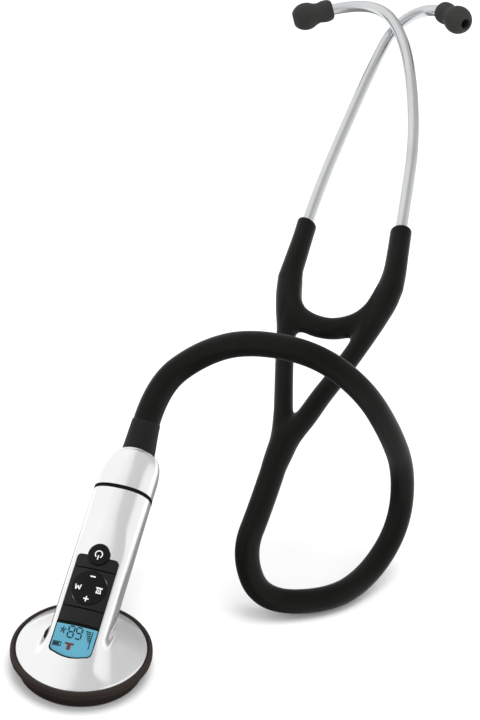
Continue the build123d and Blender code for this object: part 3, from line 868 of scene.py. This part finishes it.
def digit(kind, cx, cy, width=2.3, height=4.6, stroke=0.56, gap=0.03):
    """Seven-segment strokes for one digit."""
    x, y = width / 2, height / 2
    ends = {"a": ((-x, y), (x, y)), "b": ((x, y), (x, 0)), "c": ((x, 0), (x, -y)), "d": ((-x, -y), (x, -y)),
            "e": ((-x, 0), (-x, -y)), "f": ((-x, y), (-x, 0)), "g": ((-x, 0), (x, 0))}
    strokes = []
    for letter in SEGMENTS[kind]:
        a, b = (np.array(e) for e in ends[letter])
        way = (b - a) / np.linalg.norm(b - a)
        side = np.array((-way[1], way[0])) * stroke / 2
        a, b = a + way * (gap + stroke / 4), b - way * (gap + stroke / 4)
        tip = way * stroke / 2
        strokes.append(np.array([a, a + tip + side, b - tip + side, b, b - tip - side, a + tip - side])
                       + (cx, cy))
    return strokes


def bar(cx, cy, w, h):
    """Outline of a plain bar about its middle."""
    return np.array([(cx - w / 2, cy - h / 2), (cx + w / 2, cy - h / 2), (cx + w / 2, cy + h / 2),
                     (cx - w / 2, cy + h / 2)])


def make_marks():
    """Generic pictograms: segments under the window's face, and white prints on the keys."""
    height = PANEL_TOP + 0.045
    dark = digit("8", -1.7, -4.9) + digit("9", 1.5, -4.9)
    dark += [ribbon([(1.3 * cos(a) * s - 5.0, 1.5 * sin(a) * s - 4.7) for s in (0.1, 1)], 0.42)
             for a in (0.4, 1.7, 2.7, 3.8, 5.2)]
    dark += [bar(5.1 + 0.22 * i, -3.4 - 0.76 * i, 2.1 - 0.2 * i, 0.42) for i in range(6)]
    dark += [bar(6.75, -6.6, 0.36, 7.2)]
    dark += [bar(-6.0, -9.6, 3.2, 0.3), bar(-6.0, -11.3, 3.2, 0.3), bar(-4.3, -10.45, 0.3, 2.0),
             bar(-7.6, -10.45, 0.3, 2.0), bar(-6.2, -10.45, 2.4, 1.2)]
    points, faces = print_marks(dark, (0, 0), height, 0.03)
    add_piece("display_marks", crowned(points), faces, "segment_dark", "chestpiece", LEVEL, slot=False)
    red = [bar(-0.9, -9.7, 3.6, 0.8), bar(-0.9, -11.1, 1.5, 2.2)]
    points, faces = print_marks(red, (0, 0), height, 0.03)
    add_piece("display_symbol", crowned(points), faces, "segment_red", "chestpiece", LEVEL, slot=False)

    key_face = PANEL_TOP + 0.16
    zigzag = [(-1.15, 1.1), (-0.75, -1.0), (0.0, 0.55), (0.75, -1.0), (1.15, 1.1)]
    white = [s + (-4.5, -0.4) for s in (ribbon(zigzag[i:i + 2], 0.42) for i in range(4))]
    white += [bar(0.2, 4.9, 2.2, 0.55), bar(0.1, -4.6, 2.2, 0.5), bar(0.1, -4.6, 0.5, 2.2)]
    white += [s + (4.1, -0.3) for s in (bar(0, 1.05, 2.6, 0.6), ribbon([(-0.5, 0.6), (-0.85, -0.7)], 0.4),
                                        ribbon([(0.5, 0.6), (0.85, -0.7)], 0.4), bar(0, -0.95, 2.1, 0.45),
                                        bar(0, -0.1, 0.35, 0.7))]
    points, faces = print_marks(white, (0, KEYPAD_AT), key_face, 0.05)
    add_piece("key_marks", crowned(points), faces, "print_white", "keypad", LEVEL, slot=False)
    power = [ribbon(arc_line(1.45, -58, 238), 0.42), bar(0, -1.35, 0.42, 1.9)]
    points, faces = print_marks(power, (0, BUTTON_AT), PANEL_TOP + 0.86, 0.05)
    add_piece("power_mark", crowned(points), faces, "print_white", "power_button", LEVEL, slot=False)


# ---------------------------------------------------------------- headset
def headset_limbs():
    """Each branch's line, from inside the tube's end up through its sleeve, and the U's line."""
    tube = centreline(ROUTE)
    last = tube[-30:]
    left_over = np.linalg.norm(last - last[-1], axis=1)
    start = []
    for reach, radius in ((9, 3.7), (5, 4.1), (0.5, 4.4)):
        place = Vector(last[np.argmin(np.abs(left_over - reach))])
        start.append((*(HEADSET.inverted() @ place), radius))
    limbs = {"u_bar": rounded_line(U_BAR, 16)}
    for side in SIDES:
        branch = rounded_line([*start, *STEM, *BRANCH[side]], 16)
        limbs[side] = np.vstack([branch, rounded_line(SLEEVE[side], 16)[1:]])
    return limbs


def headset_field(p):
    """The yoke, its U and both arms as one faired body, bored for the ear tubes."""
    arms = []
    for side in SIDES:
        line = LIMBS[side]
        top, before = line[-1, :3], line[-8, :3]
        way = (top - before) / np.linalg.norm(top - before)
        line = np.vstack([line, (*(top + way * 6), line[-1, 3])])    # runs on, to be cut square at its end
        turn = radians(END_TURN[side])
        facing = np.array((way[0] * cos(turn) - way[1] * sin(turn),
                           way[0] * sin(turn) + way[1] * cos(turn), 0))
        arms.append(smooth_max(limb_distance(p, line, 1), (p - top) @ facing, 1.4))
    field = smooth_min(smooth_min(*arms, 3.4), limb_distance(p, LIMBS["u_bar"], 0), 5.5)
    for side in SIDES:
        low, high = (np.array(q, float) for q in EAR_TUBE[side][:2])
        way = (high - low) / np.linalg.norm(high - low)
        reach = (p - low) @ way
        bore = np.linalg.norm(p - low - reach[..., None] * way, axis=-1) - EAR_TUBE_R - TUBE_FIT
        field = smooth_max(field, -np.maximum(bore, -reach - 0.3), 0.7)
    return field


def cut_off(points, faces, keep):
    """The closed part of a mesh behind each plane of (place, normal)."""
    work = bmesh.new()
    verts = [work.verts.new(p) for p in points]
    for face in faces:
        work.faces.new([verts[i] for i in face])
    for place, normal in keep:
        geometry = work.verts[:] + work.edges[:] + work.faces[:]
        made = bmesh.ops.bisect_plane(work, geom=geometry, plane_co=place, plane_no=normal, dist=1e-6,
                                      clear_outer=True)
        edges = [e for e in made["geom_cut"] if isinstance(e, bmesh.types.BMEdge)]
        if edges:
            bmesh.ops.holes_fill(work, edges=edges, sides=0)
    work.verts.index_update()
    kept = np.array([v.co for v in work.verts])
    sides = [tuple(v.index for v in f.verts) for f in work.faces]
    work.free()
    return kept, sides


def make_headset():
    """The rubber body of the headset, split into the yoke and two arms where they join it."""
    points, faces = surface_of(headset_field, (-34, -37, -18), (36, 106, 9), 0.6)
    faces = [tuple(int(i) for i in f) for f in faces]
    below = ((0, SPLIT_AT, 0), (0, 1, 0))
    above = ((0, SPLIT_AT, 0), (0, -1, 0))
    halves = {"left": ((0, 0, 0), (1, 0, 0)), "right": ((0, 0, 0), (-1, 0, 0))}
    yoke = add_piece("yoke_rubber", *cut_off(points, faces, [below]), "tube_black", None, HEADSET)
    yoke.visible_glossy = False
    take_normals(yoke, headset_field, HEADSET)
    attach(yoke, "tubing")
    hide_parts("yoke_tubing")
    for side, half in halves.items():
        half_points, half_faces = cut_off(points, faces, [above, half])
        arm = add_piece(f"{side}_arm_rubber", half_points, half_faces, "tube_black", None, HEADSET)
        arm.visible_glossy = False
        take_normals(arm, headset_field, HEADSET)
        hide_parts(f"{side}_sleeve")
        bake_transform(arm)


def make_ear_tube(side):
    """A bent metal pipe, open from end to end."""
    line = centreline(EAR_TUBE[side])
    outer, inner = swept(line, EAR_TUBE_R), swept(line, EAR_TUBE_BORE)
    add_piece(f"{side}_ear_metal", *skin(outer + inner[::-1], loop=True), "satin_aluminium",
              f"{side}_ear_tube", HEADSET, [f"{side}_ear_tube"])


def make_eartip(side):
    """Soft two-lobed tip: a collar, a waist and a ball with the sound hole."""
    before, end = (Vector(p) for p in EAR_TUBE[side][-2:])
    way = (end - before).normalized()
    aim = way.to_track_quat("Z", "Y").to_matrix().to_4x4()
    place = HEADSET @ Matrix.Translation(end - way * TIP_INSERT) @ aim
    bore, sound, front = EAR_TUBE_R + TUBE_FIT, 2.3, 20.1
    outside = rounded_line([(bore + 0.2, 0.02), (3.7, 0.25), (4.7, 1.1), (5.2, 2.6), (5.25, 5.0),
                            (4.85, 7.4), (5.3, 9.3), (6.25, 11.4), (6.62, 13.9), (6.2, 16.3),
                            (4.9, 18.6), (3.5, 19.8), (sound + 0.4, front), (sound, front - 0.25)], 6)
    shoulder = TIP_INSERT + 3.6
    inside = [(sound, shoulder), (bore, shoulder), (bore, 0.3)]
    add_piece(f"{side}_soft_tip", *skin(turned([*outside, *inside]), loop=True), "eartip_rubber",
              f"{side}_eartip", place, [f"{side}_eartip"], sharp=50)


def dress_cad_nodes():
    """Every CAD node that still shows takes the finish of its own slot."""
    for part in frame["record"]["subparts"]:
        node = frame["nodes"][part["node"]]
        node.data.materials.clear()
        node.data.materials.append(FINISH[part["material_slot"]])


# ---------------------------------------------------------------- build
bpy.context.scene.view_settings.view_transform = "Standard"
make_camera()
FINISH = make_finishes()
make_tubing()
make_floor()
make_world()
make_light("key", (0.15, 0.1, 1.3), (0.03, 0.08, 0.05), 0.9, 8)
dress_cad_nodes()
make_housing()
make_painted_shade()
make_rim()
make_cap()
make_relief()
make_panel()
make_keys()
make_display()
make_marks()
LIMBS = headset_limbs()
make_headset()
for side in SIDES:
    make_ear_tube(side)
    make_eartip(side)
